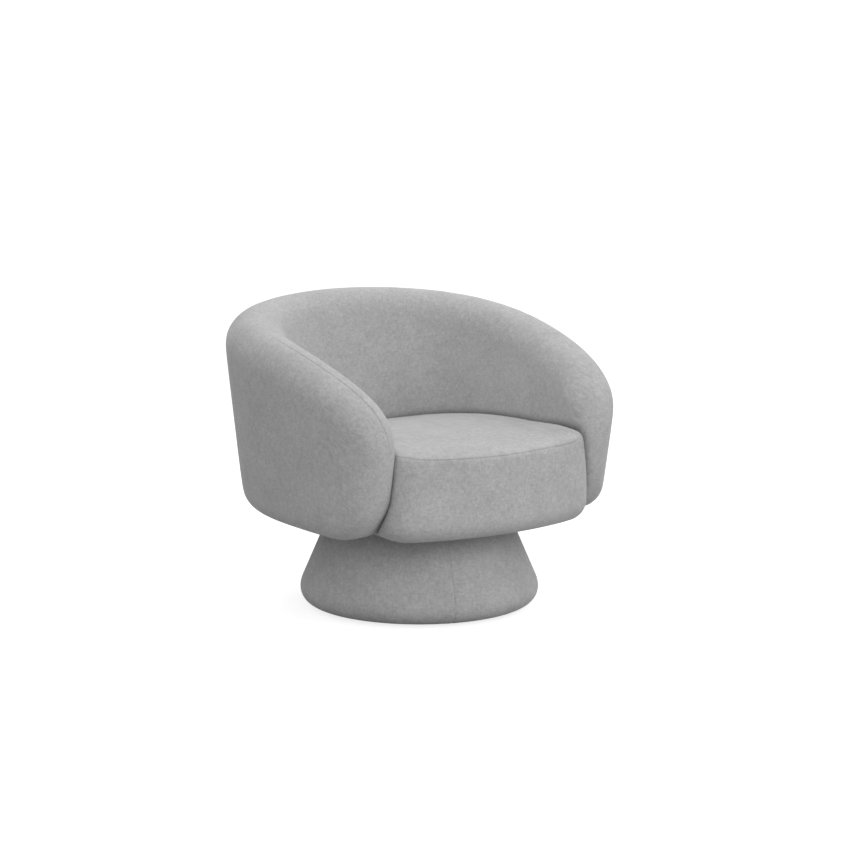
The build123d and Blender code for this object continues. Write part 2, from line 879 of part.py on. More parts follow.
# Sinuous springs run from rail to rail, their end runs held in folded clips
spring_length = rail_span - rail_thickness
spring_waves = 2 * int(spring_length / (2 * spring_pitch)) + 1
spring_step = spring_length / spring_waves
spring_front = rail_middle - spring_length / 2
zigzag = []
for number in range(spring_waves + 1):
    side = spring_width / 2 if number % 2 else -spring_width / 2
    zigzag.append((-side, spring_front + number * spring_step))
    zigzag.append((side, spring_front + number * spring_step))
with BuildPart() as one_spring:
    with BuildLine(Plane.XY.offset(wire_height)) as wire:
        FilletPolyline(*zigzag, radius=spring_bend * spring_step)
    with BuildSketch(Plane(origin=wire.line @ 0, z_dir=wire.line % 0)):
        Circle(spring_wire_radius)
    sweep()
with BuildPart() as seat_springs:
    with GridLocations(spring_spacing, 0, spring_count, 1):
        add(one_spring.part)
write(seat_springs, "seat_springs")

clip_bore = clip_height - 2 * clip_thickness
with BuildPart() as spring_clips:
    with Locations((0, rail_middle, wire_height)):
        with GridLocations(spring_spacing, spring_length, spring_count, 2):
            Box(clip_width, clip_length, clip_height)
            Box(2 * clip_width, clip_length - 2 * clip_thickness, clip_bore, mode=Mode.SUBTRACT)
write(spring_clips, "spring_clips")
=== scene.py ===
# %% [markdown]
# # A swivel tub chair in grey felted cloth
#
# This lesson dresses a finished construction model of an upholstered chair. The model gives every piece its
# real place and size, in metres, with the chair facing -Y and the floor at zero. Blender adds what
# construction leaves out: swollen padding, sewn seams, cloth and the finish of each material.

# %% Load the frame
import json
import math

import bpy
import numpy as np
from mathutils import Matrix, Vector
from mathutils.bvhtree import BVHTree


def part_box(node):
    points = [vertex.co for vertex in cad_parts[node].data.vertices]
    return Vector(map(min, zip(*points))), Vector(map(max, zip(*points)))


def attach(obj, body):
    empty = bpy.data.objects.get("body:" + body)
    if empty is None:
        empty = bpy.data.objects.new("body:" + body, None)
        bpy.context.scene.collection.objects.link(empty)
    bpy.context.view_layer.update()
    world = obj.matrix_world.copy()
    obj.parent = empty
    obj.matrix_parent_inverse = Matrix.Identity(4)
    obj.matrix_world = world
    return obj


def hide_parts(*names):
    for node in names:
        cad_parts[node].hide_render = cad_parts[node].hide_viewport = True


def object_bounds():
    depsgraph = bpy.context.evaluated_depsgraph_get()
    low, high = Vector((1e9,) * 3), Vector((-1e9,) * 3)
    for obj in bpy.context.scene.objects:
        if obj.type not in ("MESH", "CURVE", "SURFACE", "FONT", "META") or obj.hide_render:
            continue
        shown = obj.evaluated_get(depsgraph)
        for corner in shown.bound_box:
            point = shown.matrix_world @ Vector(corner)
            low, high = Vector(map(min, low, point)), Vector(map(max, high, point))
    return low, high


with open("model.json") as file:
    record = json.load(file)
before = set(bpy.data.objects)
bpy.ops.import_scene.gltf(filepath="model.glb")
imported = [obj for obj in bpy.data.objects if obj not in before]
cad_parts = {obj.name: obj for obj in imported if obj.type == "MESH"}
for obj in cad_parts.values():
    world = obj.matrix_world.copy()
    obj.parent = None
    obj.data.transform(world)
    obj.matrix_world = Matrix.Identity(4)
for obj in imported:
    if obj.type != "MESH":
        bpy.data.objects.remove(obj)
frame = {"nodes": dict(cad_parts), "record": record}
cad_low, cad_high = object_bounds()
nodes = frame["nodes"]
millimetre = 0.001
print("frame:", len(nodes), "nodes, size", [round(side, 3) for side in cad_high - cad_low])

# %% [markdown]
# ## Camera
#
# The picture was taken from far away with a long lens, slightly above the seat and about a tenth of a turn
# to the chair's right. A long lens keeps upright edges almost parallel. The small shift slides the picture
# so that the chair sits a little below the middle, as it does in the photograph.

# %% Camera
camera_target = Vector((0, 0, 0.3564))
camera_distance = 8.437
camera_azimuth = math.radians(-33.98)
camera_elevation = math.radians(10.83)
camera_lens = 155.9
camera_sensor = 36
camera_reach = 100
camera_shift = (0.0056, 0.0319)


def direction(azimuth, elevation):
    """A unit vector from the chair outwards; azimuth zero is in front of it."""
    level = math.cos(elevation)
    return Vector((math.sin(azimuth) * level, -math.cos(azimuth) * level, math.sin(elevation)))


def aim(thing, target):
    thing.rotation_euler = (target - thing.location).to_track_quat("-Z", "Y").to_euler()


towards_camera = direction(camera_azimuth, camera_elevation)
bpy.ops.object.camera_add(location=camera_target + towards_camera * camera_distance)
camera = bpy.context.object
aim(camera, camera_target)
camera.data.lens = camera_lens
camera.data.sensor_width = camera_sensor
camera.data.shift_x, camera.data.shift_y = camera_shift
camera.data.clip_end = camera_reach
bpy.context.scene.camera = camera
print("camera at", [round(part, 3) for part in camera.location])

# %% [markdown]
# ## Light
#
# A furniture studio uses large soft boxes. Two low ones in front, one each side of the chair's middle,
# reach under the seat and into the tub. One high at the back lightens the crest and the seat, and one on
# the chair's left keeps the front brighter than the outer side.

# %% Soft boxes
lamp_distance = 3.2
lamp_target = Vector((0, 0, 0.4))


def soft_box(name, azimuth, elevation, size, watts):
    """A round lamp that faces the chair; its direction is in degrees."""
    spot = lamp_target + direction(math.radians(azimuth), math.radians(elevation)) * lamp_distance
    bpy.ops.object.light_add(type="AREA", location=spot)
    lamp = bpy.context.object
    lamp.name = name
    lamp.data.shape = "DISK"
    lamp.data.size = size
    lamp.data.energy = watts
    aim(lamp, lamp_target)


soft_box("front_box", azimuth=-25, elevation=20, size=1.6, watts=16.2)
soft_box("second_front_box", azimuth=20, elevation=20, size=1.6, watts=18.4)
soft_box("side_box", azimuth=90, elevation=38, size=2.0, watts=19.0)
soft_box("back_box", azimuth=180, elevation=62, size=2.0, watts=32.3)
print("soft boxes:", len(bpy.data.lights))

# %% [markdown]
# The world is an even white surround. Rays that see it find it white, and rays that light the chair find it
# dimmer, so that lamps and surround together light a surface to about its own colour. A Light Path node
# tells the two apart.

# %% White surround
scene = bpy.context.scene
scene.view_settings.view_transform = "Standard"
world = bpy.data.worlds.new("white_surround")
world.use_nodes = True
scene.world = world
surround_light = 0.572
white = (1, 1, 1, 1)


def add_node(tree, kind, **values):
    """Adds a shader node, and sets its properties and its unlinked inputs by name."""
    node = tree.nodes.new(kind)
    for name, value in values.items():
        if name in node.inputs.keys():
            node.inputs[name].default_value = value
        else:
            setattr(node, name, value)
    return node


def set_inputs(node, **values):
    """Sets inputs of a shader node by name, with an underscore for each space."""
    for name, value in values.items():
        node.inputs[name.replace("_", " ")].default_value = value


def link(tree, start, end):
    tree.links.new(start, end)


def seen_directly(tree):
    """One for rays that see the background directly, in a reflection or through glass."""
    path = add_node(tree, "ShaderNodeLightPath")
    shiny = add_node(tree, "ShaderNodeMath", operation="MAXIMUM")
    link(tree, path.outputs["Is Glossy Ray"], shiny.inputs[0])
    link(tree, path.outputs["Is Transmission Ray"], shiny.inputs[1])
    seen = add_node(tree, "ShaderNodeMath", operation="MAXIMUM")
    link(tree, path.outputs["Is Camera Ray"], seen.inputs[0])
    link(tree, shiny.outputs[0], seen.inputs[1])
    return seen.outputs[0]


world_tree = world.node_tree
surround = world_tree.nodes["Background"]
strength = add_node(world_tree, "ShaderNodeMapRange")
set_inputs(strength, To_Min=surround_light)
link(world_tree, seen_directly(world_tree), strength.inputs["Value"])
link(world_tree, strength.outputs["Result"], surround.inputs["Strength"])
set_inputs(surround, Color=white)
print("the surround lights the chair at", surround_light)

# %% [markdown]
# ## Floor
#
# The floor is a plain sheet of paper. Cameras see it as white, and only the deepest of the shadow at the
# chair's foot is left, as in the photograph. It belongs to the stage and not to the chair.

# %% Floor
floor_size = 40
floor_glow = 0.8
paper_grey = (0.45, 0.45, 0.45, 1)

bpy.ops.object.select_all(action="DESELECT")
bpy.ops.mesh.primitive_plane_add(size=floor_size, location=(0, 0, 0))
floor = bpy.context.object
floor.name = "floor"
paper = bpy.data.materials.new("white_paper")
paper.use_nodes = True
paper_tree = paper.node_tree
paper_shader = paper_tree.nodes["Principled BSDF"]
set_inputs(paper_shader, Base_Color=paper_grey, Roughness=1, Specular_IOR_Level=0, Emission_Color=white)
glow = add_node(paper_tree, "ShaderNodeMath", operation="MULTIPLY")
glow.inputs[1].default_value = floor_glow
link(paper_tree, seen_directly(paper_tree), glow.inputs[0])
link(paper_tree, glow.outputs[0], paper_shader.inputs["Emission Strength"])
floor.data.materials.append(paper)
print("floor of", floor_size, "m")

# %% [markdown]
# ## Working by hand, in code
#
# The operators below act on what is selected, so each helper starts from a clean selection. The places of
# many points are read and written together with numpy, which keeps dense padding quick to shape.

# %% Selection and mesh helpers
def pick(piece):
    if bpy.context.object and bpy.context.object.mode != "OBJECT":
        bpy.ops.object.mode_set(mode="OBJECT")
    bpy.ops.object.select_all(action="DESELECT")
    bpy.context.view_layer.objects.active = piece
    piece.select_set(True)


def places(piece):
    points = np.zeros(len(piece.data.vertices) * 3)
    piece.data.vertices.foreach_get("co", points)
    return points.reshape(-1, 3)


def normals(piece):
    vectors = np.zeros(len(piece.data.vertices) * 3)
    piece.data.vertex_normals.foreach_get("vector", vectors)
    return vectors.reshape(-1, 3)


def move_to(piece, points):
    piece.data.vertices.foreach_set("co", np.ascontiguousarray(points, np.float32).ravel())
    piece.data.update()


def face_middles(piece):
    middles = np.zeros(len(piece.data.polygons) * 3)
    piece.data.polygons.foreach_get("center", middles)
    return middles.reshape(-1, 3)


def select_faces(piece, chosen):
    """Selects faces by a yes or no for each, ready for edit mode."""
    pick(piece)
    bpy.ops.object.mode_set(mode="EDIT")
    bpy.ops.mesh.select_mode(type="FACE")
    bpy.ops.mesh.select_all(action="DESELECT")
    bpy.ops.object.mode_set(mode="OBJECT")
    piece.data.polygons.foreach_set("select", np.asarray(chosen, bool))
    bpy.ops.object.mode_set(mode="EDIT")


# %% [markdown]
# Some steps ask how near a point is to a piece of the construction. A search tree over the faces of that
# piece answers quickly. When a padded piece is done, it is told which body it rides on and which solids it
# replaces.

# %% Nearness and finishing helpers
def surface_tree(*names):
    """A search tree over the surfaces of construction nodes."""
    points, faces = [], []
    for name in names:
        mesh = nodes[name].data
        first = len(points)
        points.extend(vertex.co.copy() for vertex in mesh.vertices)
        faces.extend([first + corner for corner in face.vertices] for face in mesh.polygons)
    return BVHTree.FromPolygons(points, faces)


def distances(tree, points):
    return np.array([tree.find_nearest(Vector(point))[3] for point in points])


def subdivide(piece):
    pick(piece)
    modifier = piece.modifiers.new("rounding", "SUBSURF")
    modifier.levels = 1
    modifier.render_levels = 1
    bpy.ops.object.modifier_apply(modifier=modifier.name)


def finish_piece(piece, body, slot, material, *replaced):
    piece.data.materials.clear()
    piece.data.materials.append(material)
    pick(piece)
    bpy.ops.object.shade_smooth()
    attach(piece, body)
    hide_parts(*replaced)
    print(piece.name, "has", len(piece.data.polygons), "faces")


# %% [markdown]
# ## Padding from the construction's foam
#
# Each padded piece of the chair is foam with cloth pulled over it. The foam solids already have the right
# form, but they are hollow where the frame sits, and their surface is faceted. So a copy of the foam is
# taken, the faces of its hollow are deleted, the opening underneath is filled, and the closed shape is
# remeshed into even squares, which cloth needs.

# %% Foam skin and remesh
skin_reach = 1.2 * millimetre
doubles_reach = 0.01 * millimetre
relax_factor = 0.5


def foam_skin(foam, covers, name):
    """A closed copy of a foam node, made from the faces that lie under its covers."""
    piece = bpy.data.objects.new(name, nodes[foam].data.copy())
    bpy.context.collection.objects.link(piece)
    pick(piece)
    bpy.ops.object.mode_set(mode="EDIT")
    bpy.ops.mesh.select_all(action="SELECT")
    bpy.ops.mesh.remove_doubles(threshold=doubles_reach)
    bpy.ops.object.mode_set(mode="OBJECT")
    hidden = distances(surface_tree(*covers), face_middles(piece)) > skin_reach
    select_faces(piece, hidden)
    bpy.ops.mesh.delete(type="FACE")
    close_underneath(piece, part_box("seat_board")[0].z)
    print(name, "keeps", int((~hidden).sum()), "of", len(hidden), "faces")
    return piece


def close_underneath(piece, height):
    """Draws the open edge straight down to a height and fills it there."""
    bpy.ops.mesh.select_mode(type="EDGE")
    bpy.ops.mesh.select_all(action="DESELECT")
    bpy.ops.mesh.select_non_manifold(extend=False)
    bpy.ops.mesh.extrude_edges_move()
    bpy.ops.object.mode_set(mode="OBJECT")
    for vertex in piece.data.vertices:
        if vertex.select:
            vertex.co.z = height
    bpy.ops.object.mode_set(mode="EDIT")
    bpy.ops.mesh.select_all(action="SELECT")
    bpy.ops.mesh.remove_doubles(threshold=doubles_reach)
    bpy.ops.mesh.fill_holes(sides=0)
    bpy.ops.mesh.quads_convert_to_tris()
    bpy.ops.mesh.normals_make_consistent(inside=False)
    bpy.ops.object.mode_set(mode="OBJECT")


def even_mesh(piece, size, smoothing):
    pick(piece)
    piece.data.remesh_voxel_size = size
    bpy.ops.object.voxel_remesh()
    smooth(piece, smoothing)


def smooth(piece, repeats):
    pick(piece)
    modifier = piece.modifiers.new("relax", "SMOOTH")
    modifier.factor = relax_factor
    modifier.iterations = repeats
    bpy.ops.object.modifier_apply(modifier=modifier.name)


# %% [markdown]
# ## Swelling
#
# Foam under tight cloth swells where nothing holds it. Blender's Cloth with a little inner pressure shows
# where that is: the flat sides bulge, and the crests are drawn in. Real foam can't be drawn in, so only the
# outward part is kept. It is limited to a few millimetres, because the chair is firm, and then evened out.

# %% Cloth under pressure
cloth_frames = 20
cloth_pressure = 4.0
cover_thickness = 2.3 * millimetre
even_repeats = 60
even_share = 0.5


def swell(piece, limit):
    """Inflates a closed piece; limit gives how far each point may bulge beyond the cover."""
    start = places(piece)
    outward = normals(piece)
    bulge = np.zeros(len(start))
    pick(piece)
    stretched = piece.modifiers.new("swelling", "CLOTH")
    stretched.settings.use_pressure = True
    stretched.settings.uniform_pressure_force = cloth_pressure
    stretched.settings.effector_weights.gravity = 0
    stretched.point_cache.frame_end = cloth_frames
    for number in range(1, cloth_frames + 1):
        scene.frame_set(number)
    bpy.ops.object.modifier_apply(modifier=stretched.name)
    scene.frame_set(1)
    bulge = np.clip(((places(piece) - start) * outward).sum(1), 0, limit)
    ends = np.zeros(len(piece.data.edges) * 2, int)
    piece.data.edges.foreach_get("vertices", ends)
    bulge = evened(bulge, ends.reshape(-1, 2))
    move_to(piece, start + outward * (cover_thickness + bulge)[:, None])
    print(piece.name, "bulges up to", round(float(bulge.max()) / millimetre, 1), "mm")


def evened(values, edges):
    """Averages each point's value with its neighbours', again and again."""
    both = np.concatenate([edges, edges[:, ::-1]])
    count = np.bincount(both[:, 0], minlength=len(values))
    for _ in range(even_repeats):
        around = np.bincount(both[:, 0], weights=values[both[:, 1]], minlength=len(values))
        values = (1 - even_share) * values + even_share * around / np.maximum(count, 1)
    return values


# %% [markdown]
# ## Seams
#
# Where two panels of cloth are sewn together, the thread pulls the padding in and the cloth puffs up beside
# it. The seam is too fine for the remeshed squares, so the faces beside it are divided first, and their
# points are then moved along their normals. The depth varies a little from stitch to stitch.

# %% Sewn grooves
seam_half_width = 1.3 * millimetre
seam_depth = 1.3 * millimetre
seam_puff = 0.35 * millimetre
puff_distance = 7 * millimetre
stitch_pitch = 9 * millimetre
pucker_share = 0.16
dividing_reaches = (12 * millimetre, 6 * millimetre, 3 * millimetre)
dividing_roundness = 0.6


def write_points(piece, name, kind, values):
    """Stores a number or a vector for each point, for materials to read."""
    kept = piece.data.attributes.get(name) or piece.data.attributes.new(name, kind, "POINT")
    field = "value" if kind == "FLOAT" else "vector"
    kept.data.foreach_set(field, np.ascontiguousarray(values, np.float32).ravel())


def sew(piece, distance_to, along, tightness):
    """Draws a seam in: how far points are from it and along it, and how tightly it is drawn there."""
    for reach in dividing_reaches:
        select_faces(piece, distance_to(face_middles(piece)) < reach)
        bpy.ops.mesh.subdivide(number_cuts=1, smoothness=dividing_roundness)
        bpy.ops.object.mode_set(mode="OBJECT")
    points = places(piece)
    away = distance_to(points)
    drawn = tightness(points)
    mark = drawn * np.exp(-((away / seam_half_width) ** 2))
    pucker = 1 + pucker_share * np.sin(along(points) * 2 * math.pi / stitch_pitch)
    puff = seam_puff * drawn * np.exp(-(((away - puff_distance) / puff_distance) ** 2))
    move_to(piece, points + normals(piece) * (puff - seam_depth * pucker * mark)[:, None])
    # The groove's mark is stored too, and the felt paints shade into the groove with it.
    write_points(piece, "seam", "FLOAT", mark)


# %% [markdown]
# ## Felted cloth
#
# The cover is a short-haired grey cloth, nearly matt, with a faint weave under the hair and a cloudy shade
# where the hair lies differently. A group mixes these from fine to broad. The weave follows a pair of
# lengths that each piece stores on its points, so threads run up and along a curved wall.

# %% Node groups
noise_middle = 0.5


def new_group(name, vectors, numbers):
    """A group that takes vectors and gives numbers; returns the tree, its input node and its output node."""
    group = bpy.data.node_groups.new(name, "ShaderNodeTree")
    for socket in vectors:
        group.interface.new_socket(socket, in_out="INPUT", socket_type="NodeSocketVector")
    for socket in numbers:
        group.interface.new_socket(socket, in_out="OUTPUT", socket_type="NodeSocketFloat")
    return group, group.nodes.new("NodeGroupInput"), group.nodes.new("NodeGroupOutput")


def feed(tree, socket, value):
    """Links an input to another node's output, or sets it to a plain value."""
    if isinstance(value, bpy.types.NodeSocket):
        link(tree, value, socket)
    else:
        socket.default_value = value


def maths(tree, operation, first, second):
    node = add_node(tree, "ShaderNodeMath", operation=operation)
    feed(tree, node.inputs[0], first)
    feed(tree, node.inputs[1], second)
    return node.outputs[0]


def stretched_noise(tree, vector, stretch, detail):
    """Noise about zero, whose grains are as long as one over each part of stretch."""
    spread = add_node(tree, "ShaderNodeVectorMath", operation="MULTIPLY")
    link(tree, vector, spread.inputs[0])
    feed(tree, spread.inputs[1], stretch)
    noise = add_node(tree, "ShaderNodeTexNoise", Scale=1.0, Detail=detail)
    link(tree, spread.outputs[0], noise.inputs["Vector"])
    return maths(tree, "SUBTRACT", noise.outputs["Fac"], noise_middle)


def weighted_sum(tree, parts):
    """Adds values, each times its weight."""
    total = 0.0
    for value, weight in parts:
        total = maths(tree, "ADD", maths(tree, "MULTIPLY", value, weight), total)
    return total


def wave(tree, vector, axis, pitch):
    """A sine wave along one axis of the vector, with that distance from crest to crest."""
    split = add_node(tree, "ShaderNodeSeparateXYZ")
    link(tree, vector, split.inputs[0])
    return maths(tree, "SINE", maths(tree, "MULTIPLY", split.outputs[axis], 2 * math.pi / pitch), 0.0)


# %% Weave and hair
thread_pitch = 2.2 * millimetre
cloud_grain, patch_grain, hair_grain = (14, 14, 14), (60, 60, 60), (190, 190, 190)
warp_grain, weft_grain = (240, 85, 1), (85, 240, 1)
cloud_tone, patch_tone, hair_tone, thread_tone = 0.28, 0.30, 0.42, 0.43
weave_height, hair_height, thread_height = 0.10, 1.2, 0.8

weave, weave_in, weave_out = new_group("felted_weave", ["Threads", "Place"], ["Tone", "Height"])
threads, place = weave_in.outputs["Threads"], weave_in.outputs["Place"]
warp_wave, weft_wave = wave(weave, threads, 0, thread_pitch), wave(weave, threads, 1, thread_pitch)
over_under = maths(weave, "MULTIPLY", warp_wave, weft_wave)
cloud = stretched_noise(weave, place, cloud_grain, detail=3)
patch = stretched_noise(weave, place, patch_grain, detail=2)
hair = stretched_noise(weave, place, hair_grain, detail=3)
warp = stretched_noise(weave, threads, warp_grain, detail=2)
weft = stretched_noise(weave, threads, weft_grain, detail=2)
broad_tones = [(cloud, cloud_tone), (patch, patch_tone)]
fine_tones = [(hair, hair_tone), (warp, thread_tone), (weft, thread_tone)]
heights = [(over_under, weave_height), (hair, hair_height), (warp, thread_height), (weft, thread_height)]
link(weave, weighted_sum(weave, broad_tones + fine_tones), weave_out.inputs["Tone"])
link(weave, weighted_sum(weave, heights), weave_out.inputs["Height"])
print("the weave has a thread every", thread_pitch / millimetre, "mm")

# %% [markdown]
# Every finish of the chair is a Principled shader whose colour, and often its gloss, runs between two
# limits as one noise does. These helpers make one link or one mix each, so that a material reads as a short
# list.

# %% Material helpers
def new_material(name):
    """A material with a plain Principled shader; returns it with its tree and shader."""
    made = bpy.data.materials.new(name)
    made.use_nodes = True
    return made, made.node_tree, made.node_tree.nodes["Principled BSDF"]


def use_group(tree, group):
    node = tree.nodes.new("ShaderNodeGroup")
    node.node_tree = group
    return node


def value_between(tree, value, low, high):
    """Runs from low to high as a noise about zero runs from its least to its most."""
    share = add_node(tree, "ShaderNodeMapRange")
    set_inputs(share, From_Min=-noise_middle, From_Max=noise_middle, To_Min=low, To_Max=high)
    link(tree, value, share.inputs["Value"])
    return share.outputs["Result"]


def colour_between(tree, value, dark, light):
    mix = add_node(tree, "ShaderNodeMix", data_type="RGBA")
    colours = [socket for socket in mix.inputs if socket.type == "RGBA"]
    colours[0].default_value = (*dark, 1)
    colours[1].default_value = (*light, 1)
    link(tree, value_between(tree, value, 0, 1), mix.inputs["Factor"])
    return next(socket for socket in mix.outputs if socket.type == "RGBA")


def darkened(tree, colour, mask, share):
    """Takes a share of the brightness away where the mask is one."""
    kept = maths(tree, "SUBTRACT", 1.0, maths(tree, "MULTIPLY", mask, share))
    scaled = add_node(tree, "ShaderNodeVectorMath", operation="SCALE")
    link(tree, colour, scaled.inputs[0])
    link(tree, kept, scaled.inputs["Scale"])
    return scaled.outputs[0]


def object_place(tree):
    return add_node(tree, "ShaderNodeTexCoord").outputs["Object"]


def bump(tree, shader, value, strength, depth):
    node = add_node(tree, "ShaderNodeBump", Strength=strength, Distance=depth)
    link(tree, value, node.inputs["Height"])
    link(tree, node.outputs["Normal"], shader.inputs["Normal"])


# %% [markdown]
# The felt takes its grey from the weave's tone. Shade is painted into it along a seam's groove and in the
# crease between seat and back, as the pieces store on their points. A little sheen stands for the light
# that the short hair catches.

# %% Grey felted cloth
felt_dark, felt_light = (0.26, 0.26, 0.26), (0.64, 0.64, 0.64)
felt_bump, felt_depth = 0.5, 0.6 * millimetre
# Painted shade: the share by which the cloth is darkened in a seam's groove.
seam_painted_shade = 0.16
# Painted shade: the share by which the cloth is darkened in the crease between seat and back.
crease_painted_shade = 0.65

felt, felt_tree, felt_shader = new_material("grey_felted_cloth")
felt_weave = use_group(felt_tree, weave)
stored_threads = add_node(felt_tree, "ShaderNodeAttribute", attribute_name="threads")
stored_seam_shade = add_node(felt_tree, "ShaderNodeAttribute", attribute_name="seam")
stored_crease_shade = add_node(felt_tree, "ShaderNodeAttribute", attribute_name="crease")
link(felt_tree, stored_threads.outputs["Vector"], felt_weave.inputs["Threads"])
link(felt_tree, object_place(felt_tree), felt_weave.inputs["Place"])
shade = colour_between(felt_tree, felt_weave.outputs["Tone"], felt_dark, felt_light)
felt_with_seam_shade = darkened(felt_tree, shade, stored_seam_shade.outputs["Fac"], seam_painted_shade)
felt_with_painted_shade = darkened(felt_tree, felt_with_seam_shade, stored_crease_shade.outputs["Fac"], crease_painted_shade)
link(felt_tree, felt_with_painted_shade, felt_shader.inputs["Base Color"])
bump(felt_tree, felt_shader, felt_weave.outputs["Height"], felt_bump, felt_depth)
set_inputs(felt_shader, Roughness=0.95, Specular_IOR_Level=0.15, Sheen_Weight=0.2, Sheen_Roughness=0.5)
print("material:", felt.name)

# %% [markdown]
# ## Tub wall
#
# Back and arms are one C-shaped wall. Its outer and inner cloth meet in a seam that runs along the crest
# and down the front of each arm. The construction has the two covers as separate pieces, so the seam is
# simply where a point is as far from one cover as from the other.

# %% Wall padding
wall_square = 10 * millimetre
wall_smoothing = 8
wall_swelling = 3 * millimetre

tub_wall = foam_skin("wall_foam", ["wall_outer_cover", "wall_inner_cover"], "tub_wall")
even_mesh(tub_wall, wall_square, wall_smoothing)
swell(tub_wall, wall_swelling)

# %% [markdown]
# Underneath, the cloth is turned round the edge of the board and tacked, and a black dust cloth closes the
# middle. So the padding lies flat under the board's rim for a hem's width and then goes up out of sight,
# above the dust cloth.

# %% Turned-under hem
hem_width = 25 * millimetre
hem_fade = 16 * millimetre
hem_thickness = 1.5 * millimetre
hem_spread = 10 * millimetre
press_reach = 6 * millimetre
tuck_height = 4 * millimetre
plate_radius = 0.15
upright = 0.5
dust_low, dust_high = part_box("seat_dust_cover")
board_low, board_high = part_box("seat_board")
dust_mesh = nodes["seat_dust_cover"].data
dust_points = [vertex.co.copy() for vertex in dust_mesh.vertices]
rim_faces = [
    list(face.vertices)
    for face in dust_mesh.polygons
    if abs(face.normal.z) < upright and face.center.xy.length > plate_radius
]
dust_rim = BVHTree.FromPolygons(dust_points, rim_faces)
dust_cloth = surface_tree("seat_dust_cover")


def smooth_step(values, start, end):
    share = np.clip((values - start) / (end - start), 0, 1)
    return share * share * (3 - 2 * share)


def tuck_under(piece):
    """Flattens the hem under the board and lifts the rest of the underside above the dust cloth."""
    points = places(piece)
    low = np.flatnonzero(points[:, 2] < board_high.z)
    under = points[low]
    nearest = np.array([dust_cloth.find_nearest(Vector(point))[0] for point in under])
    beside = np.hypot(*(nearest - under)[:, :2].T)
    covered = (beside < hem_thickness) | (np.hypot(under[:, 0], under[:, 1]) < plate_radius)
    inside = distances(dust_rim, under) * np.where(covered, 1, -1)
    pressed = smooth_step(inside, -hem_spread, 0) * (under[:, 2] < dust_high.z + press_reach)
    flat = under[:, 2] + pressed * (dust_low.z - hem_thickness - under[:, 2])
    lifted = smooth_step(inside, hem_width, hem_width + hem_fade)
    points[low, 2] = flat + lifted * np.maximum(dust_high.z + tuck_height - flat, 0)
    move_to(piece, points)
    print(piece.name, "is tucked under at", int((lifted > 0).sum()), "points")


tuck_under(tub_wall)

# %% [markdown]
# A back that is pleasant to lean on is thicker at the foot than at the crest. In the photograph the inside
# of the back catches more and more light towards the crest, so the padding there grows downwards to a
# couple of centimetres at the seat. It fades out along the arms, which are upright inside.

# %% Leaning padding
lean_padding = 26 * millimetre
lean_start, lean_full = 0.02, 0.27
lean_arm, lean_back = -0.22, 0.02
lean_foot, lean_seat = 0.25, 0.38
inner_start, inner_full = 0.02, 0.07
crest_step = 3
outer_cover = surface_tree("wall_outer_cover")
inner_cover = surface_tree("wall_inner_cover")


def cover_gap(points):
    """How much farther each point is from the outer cover than from the inner one."""
    return distances(outer_cover, points) - distances(inner_cover, points)


crest_turns = np.radians(np.arange(-180, 181, crest_step))
wall_points = places(tub_wall)
wall_turns = np.arctan2(wall_points[:, 0], wall_points[:, 1])
crest_heights = np.zeros(len(crest_turns))
np.maximum.at(crest_heights, np.searchsorted(crest_turns, wall_turns) - 1, wall_points[:, 2])


def leaning(points):
    """How far the padding stands into the tub at each point."""
    x, y, z = points.T
    crest = np.interp(np.arctan2(x, y), crest_turns, crest_heights)
    shares = smooth_step(crest - z, lean_start, lean_full) * smooth_step(y, lean_arm, lean_back)
    return lean_padding * shares * smooth_step(z, lean_foot, lean_seat)


inward = leaning(wall_points) * smooth_step(cover_gap(wall_points), inner_start, inner_full)
move_to(tub_wall, wall_points + normals(tub_wall) * inward[:, None])
print("the back leans in by up to", round(float(inward.max()) / millimetre, 1), "mm")
subdivide(tub_wall)

# %% [markdown]
# The crest seam is clearest along the arm on the chair's right. It fades round the back, low on the front
# of the arms and on the other arm, where the photograph hardly shows it. The threads run round the chair
# and up the wall, and they turn with the cloth over the crest and across the front of each arm.

# %% Wall seam
def crest_distance(points):
    return np.abs(cover_gap(points))


def round_the_chair(points):
    return np.arctan2(points[:, 0], points[:, 1]) * cad_high.x


nose_start, nose_full = 0.15, 0.30
crest_half_width = 0.05
seam_fade_start, seam_fade_end, seam_fade = -0.05, 0.15, 0.8
nose_seam_low, nose_seam_high, nose_seam_fade = 0.40, 0.50, 0.8
left_arm_fade = 0.85


def crest_tightness(points):
    x, y, z = points.T
    back = 1 - seam_fade * smooth_step(y, seam_fade_start, seam_fade_end)
    nose = 1 - nose_seam_fade * (1 - smooth_step(z, nose_seam_low, nose_seam_high))
    return back * nose * (1 - left_arm_fade * smooth_step(x, 0, cad_high.x / 2))


sew(tub_wall, crest_distance, lambda points: round_the_chair(points) + points[:, 2], crest_tightness)
wall_points = places(tub_wall)
wall_gap = np.clip(cover_gap(wall_points), -crest_half_width, crest_half_width)
on_nose = smooth_step(-wall_points[:, 1], nose_start, nose_full)
wall_along = round_the_chair(wall_points) + on_nose * wall_gap * np.sign(wall_points[:, 0])
wall_up = wall_points[:, 2] - (1 - on_nose) * np.abs(wall_gap)
wall_threads = np.stack([wall_along, wall_up, np.zeros(len(wall_points))], 1)
write_points(tub_wall, "threads", "FLOAT_VECTOR", wall_threads)
finish_piece(tub_wall, "tub", "cover_fabric", felt, "wall_foam", "wall_outer_cover", "wall_inner_cover")

# %% [markdown]
# ## Seat
#
# The seat is a thick cushion with a bowed front. Its top panel is sewn to a band round the sides, a
# finger's width below the crown. It fits tightly between the arms, so it may swell upwards but hardly
# sideways.

